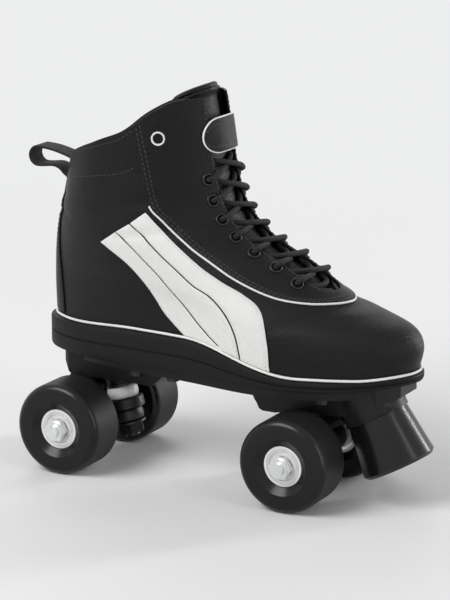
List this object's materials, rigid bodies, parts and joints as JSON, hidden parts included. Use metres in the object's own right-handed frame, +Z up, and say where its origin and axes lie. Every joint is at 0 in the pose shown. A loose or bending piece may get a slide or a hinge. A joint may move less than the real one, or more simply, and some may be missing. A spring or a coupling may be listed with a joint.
{
  "type": "quad roller skate",
  "caption": "High-top lace-up quad roller skate: black leather boot with flared white side stripes, sprung trucks, wheels on bearings and a toe stop.",
  "frame": {"origin": "on the floor under the middle of the skate's overall length and width", "axes": "+X towards the toe, +Y towards the inner side of the right foot, +Z up"},
  "size_m": [0.2764, 0.116, 0.2457],
  "materials": {
    "black_leather": "smooth grained black leather",
    "lining_fabric": "padded knit lining",
    "tongue_leather": "padded black leather",
    "insole_fabric": "fabric-topped foam",
    "facing_leather": "black leather overlay",
    "eyelet_metal": "black enamel",
    "lace_cord": "woven black cord",
    "strap_leather": "black leather with a white bound edge",
    "white_eyelet": "white enamel",
    "webbing": "woven black tape",
    "white_leather": "smooth white leather",
    "sole_rubber": "moulded black rubber",
    "white_piping": "white piping cord",
    "plate_nylon": "moulded black nylon",
    "zinc_steel": "bright zinc plate",
    "stop_rubber": "moulded black rubber",
    "cushion_urethane": "dark urethane",
    "hanger_paint": "black paint",
    "bearing_steel": "ground steel",
    "bearing_shield": "white shield",
    "wheel_urethane": "black urethane",
    "hub_nylon": "white nylon"
  },
  "bodies": {
    "boot_and_plate": {"boot_upper": "black_leather", "boot_lining": "lining_fabric", "tongue": "tongue_leather", "insole": "insole_fabric", "eyestay": "facing_leather", "eyelets": "eyelet_metal", "laces": "lace_cord", "ankle_strap": "strap_leather", "ankle_eyelet": "white_eyelet", "pull_loop": "webbing", "backstay": "facing_leather", "outer_stripes": "white_leather", "inner_stripes": "white_leather", "outsole": "sole_rubber", "welt_piping": "white_piping", "plate": "plate_nylon", "plate_bolts": "zinc_steel", "toe_stop": "stop_rubber", "toe_stop_bolt": "zinc_steel", "rear_kingpin": "zinc_steel", "rear_kingpin_nut": "zinc_steel", "rear_upper_cushion": "cushion_urethane", "rear_lower_cushion": "cushion_urethane", "rear_cushion_washers": "zinc_steel", "rear_pivot_cup": "cushion_urethane", "front_kingpin": "zinc_steel", "front_kingpin_nut": "zinc_steel", "front_upper_cushion": "cushion_urethane", "front_lower_cushion": "cushion_urethane", "front_cushion_washers": "zinc_steel", "front_pivot_cup": "cushion_urethane"},
    "rear_truck": {"rear_hanger": "hanger_paint", "rear_axle": "zinc_steel", "rear_axle_nuts": "zinc_steel", "rear_axle_spacers": "zinc_steel", "rear_inner_rings": "bearing_steel"},
    "front_truck": {"front_hanger": "hanger_paint", "front_axle": "zinc_steel", "front_axle_nuts": "zinc_steel", "front_axle_spacers": "zinc_steel", "front_inner_rings": "bearing_steel"},
    "rear_outer_wheel": {"rear_outer_tyre": "wheel_urethane", "rear_outer_hub": "hub_nylon", "rear_outer_bearings": "bearing_steel", "rear_outer_shields": "bearing_shield"},
    "rear_inner_wheel": {"rear_inner_tyre": "wheel_urethane", "rear_inner_hub": "hub_nylon", "rear_inner_bearings": "bearing_steel", "rear_inner_shields": "bearing_shield"},
    "front_outer_wheel": {"front_outer_tyre": "wheel_urethane", "front_outer_hub": "hub_nylon", "front_outer_bearings": "bearing_steel", "front_outer_shields": "bearing_shield"},
    "front_inner_wheel": {"front_inner_tyre": "wheel_urethane", "front_inner_hub": "hub_nylon", "front_inner_bearings": "bearing_steel", "front_inner_shields": "bearing_shield"}
  },
  "joints": [
    {"name": "rear_truck_lean", "type": "hinge", "parent": "boot_and_plate", "child": "rear_truck", "pos_m": [-0.073, 0, 0.036], "axis": [-0.8878, 0, 0.4603], "range_deg": [-8, 8], "stiffness_Nm_per_rad": 20, "deforming": ["rear_upper_cushion", "rear_lower_cushion"]},
    {"name": "front_truck_lean", "type": "hinge", "parent": "boot_and_plate", "child": "front_truck", "pos_m": [0.046, 0, 0.036], "axis": [0.8878, 0, 0.4603], "range_deg": [-8, 8], "stiffness_Nm_per_rad": 20, "deforming": ["front_upper_cushion", "front_lower_cushion"]},
    {"name": "rear_outer_wheel_spin", "type": "hinge", "parent": "rear_truck", "child": "rear_outer_wheel", "pos_m": [-0.092, -0.038, 0.029], "axis": [0, 1, 0], "continuous": true},
    {"name": "rear_inner_wheel_spin", "type": "hinge", "parent": "rear_truck", "child": "rear_inner_wheel", "pos_m": [-0.092, 0.038, 0.029], "axis": [0, 1, 0], "continuous": true},
    {"name": "front_outer_wheel_spin", "type": "hinge", "parent": "front_truck", "child": "front_outer_wheel", "pos_m": [0.065, -0.038, 0.029], "axis": [0, 1, 0], "continuous": true},
    {"name": "front_inner_wheel_spin", "type": "hinge", "parent": "front_truck", "child": "front_inner_wheel", "pos_m": [0.065, 0.038, 0.029], "axis": [0, 1, 0], "continuous": true}
  ]
}
